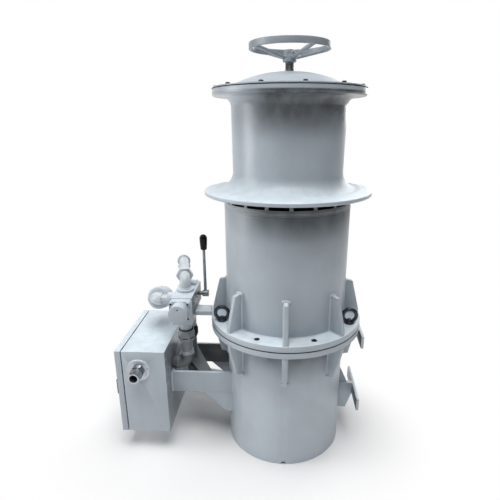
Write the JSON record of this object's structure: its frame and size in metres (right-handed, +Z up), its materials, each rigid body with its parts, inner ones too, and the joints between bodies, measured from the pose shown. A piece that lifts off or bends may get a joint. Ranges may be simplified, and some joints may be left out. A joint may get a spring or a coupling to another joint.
{
  "type": "air winch",
  "caption": "Upright capstan air winch: a flanged drum with domed cover and handwheel on a tubular stand, with a lever valve, silencer and air cabinet at its side.",
  "frame": {"origin": "centre of the stand's underside, on the axis of the drum", "axes": "+Z up along the drum's axis, -Y towards the front with the air inlet and the end cap of the valve, -X towards the cabinet"},
  "size_m": [0.9549, 0.5978, 1.5037],
  "materials": {
    "grey_paint": "semi-gloss paint",
    "bright_steel": "machined",
    "cast_aluminium": "cast",
    "black_rubber": "matt",
    "black_steel": "black oxide",
    "black_plastic": "glossy",
    "bronze": "turned"
  },
  "bodies": {
    "stand": {"lower_casing": "grey_paint", "lower_flange": "grey_paint", "flange_gasket": "black_rubber", "upper_flange": "grey_paint", "upper_casing": "grey_paint", "gussets": "grey_paint", "eye_bolts": "black_steel", "flange_bolts": "grey_paint", "head_plate": "grey_paint", "slotted_ring": "grey_paint", "main_bearings": "bright_steel", "side_pads": "grey_paint", "pad_arm": "grey_paint", "front_arm": "grey_paint", "rear_arm": "grey_paint", "cabinet_rail": "grey_paint", "arm_braces": "grey_paint", "bay_plate": "grey_paint", "cabinet": "grey_paint", "door_hinges": "bright_steel", "filter_regulator": "cast_aluminium", "lubricator": "cast_aluminium", "cabinet_pipe": "bright_steel", "inlet_fitting": "grey_paint", "valve_bar": "grey_paint", "valve_body": "grey_paint", "valve_end_cap": "grey_paint", "valve_screws": "black_steel", "silencer": "grey_paint", "silencer_elbow": "grey_paint", "top_elbow": "grey_paint", "union_nuts": "grey_paint", "riser_pipe": "grey_paint", "supply_pipe": "grey_paint", "return_pipe": "grey_paint", "motor_plate": "grey_paint", "motor_case": "grey_paint", "motor_cylinders": "grey_paint", "ring_gear": "bright_steel"},
    "drum": {"drum": "grey_paint", "drum_bushes": "bronze", "clutch_plate": "bright_steel", "drum_cover": "grey_paint", "cover_gasket": "black_rubber", "cover_screws": "black_steel", "planet_carrier": "bright_steel"},
    "sun": {"sun_shaft": "bright_steel"},
    "planet_1": {"planet_gear_1": "bright_steel"},
    "planet_2": {"planet_gear_2": "bright_steel"},
    "planet_3": {"planet_gear_3": "bright_steel"},
    "pressure": {"pressure_plate": "bright_steel"},
    "handwheel": {"handwheel": "grey_paint", "spindle": "bright_steel"},
    "lever": {"lever_shaft": "bright_steel", "lever_rod": "bright_steel", "lever_grip": "black_plastic"},
    "spool": {"valve_spool": "bright_steel"},
    "door": {"cabinet_door": "grey_paint", "door_seal": "black_rubber"},
    "latch": {"door_latch": "black_steel"}
  },
  "joints": [
    {"name": "drum_spin", "type": "hinge", "parent": "stand", "child": "drum", "pos_m": [0, 0, 1.2], "axis": [0, 0, 1], "continuous": true},
    {"name": "sun_spin", "type": "hinge", "parent": "stand", "child": "sun", "pos_m": [0, 0, 0.5], "axis": [0, 0, 1], "continuous": true},
    {"name": "planet_1_spin", "type": "hinge", "parent": "drum", "child": "planet_1", "pos_m": [0.108, 0, 0.66], "axis": [0, 0, 1], "continuous": true},
    {"name": "planet_2_spin", "type": "hinge", "parent": "drum", "child": "planet_2", "pos_m": [-0.054, 0.09353, 0.66], "axis": [0, 0, 1], "continuous": true},
    {"name": "planet_3_spin", "type": "hinge", "parent": "drum", "child": "planet_3", "pos_m": [-0.054, -0.09353, 0.66], "axis": [0, 0, 1], "continuous": true},
    {"name": "clutch_slide", "type": "slide", "parent": "drum", "child": "pressure", "axis": [0, 0, 1], "range_m": [0, 0.00605]},
    {"name": "handwheel_turn", "type": "hinge", "parent": "pressure", "child": "handwheel", "pos_m": [0, 0, 1.45], "axis": [0, 0, 1], "range_deg": [0, 360]},
    {"name": "lever_swing", "type": "hinge", "parent": "stand", "child": "lever", "pos_m": [-0.33, 0.012, 0.606], "axis": [1, 0, 0], "range_deg": [-25, 25], "stiffness_Nm_per_rad": 6},
    {"name": "spool_slide", "type": "slide", "parent": "stand", "child": "spool", "axis": [0, 1, 0], "range_m": [-0.0075, 0.0075]},
    {"name": "door_hinge", "type": "hinge", "parent": "stand", "child": "door", "pos_m": [-0.613, 0.1965, 0.2665], "axis": [0, 0, -1], "range_deg": [0, 110]},
    {"name": "latch_turn", "type": "hinge", "parent": "door", "child": "latch", "pos_m": [-0.637, -0.136, 0.2665], "axis": [1, 0, 0], "range_deg": [0, 90]}
  ],
  "couplings": [
    {"joint": "sun_spin", "follows": "drum_spin", "ratio": 4},
    {"joint": "planet_1_spin", "follows": "drum_spin", "ratio": -3},
    {"joint": "planet_2_spin", "follows": "drum_spin", "ratio": -3},
    {"joint": "planet_3_spin", "follows": "drum_spin", "ratio": -3},
    {"joint": "clutch_slide", "follows": "handwheel_turn", "m_per_rad": 0.0009549},
    {"joint": "spool_slide", "follows": "lever_swing", "m_per_rad": 0.0168}
  ]
}
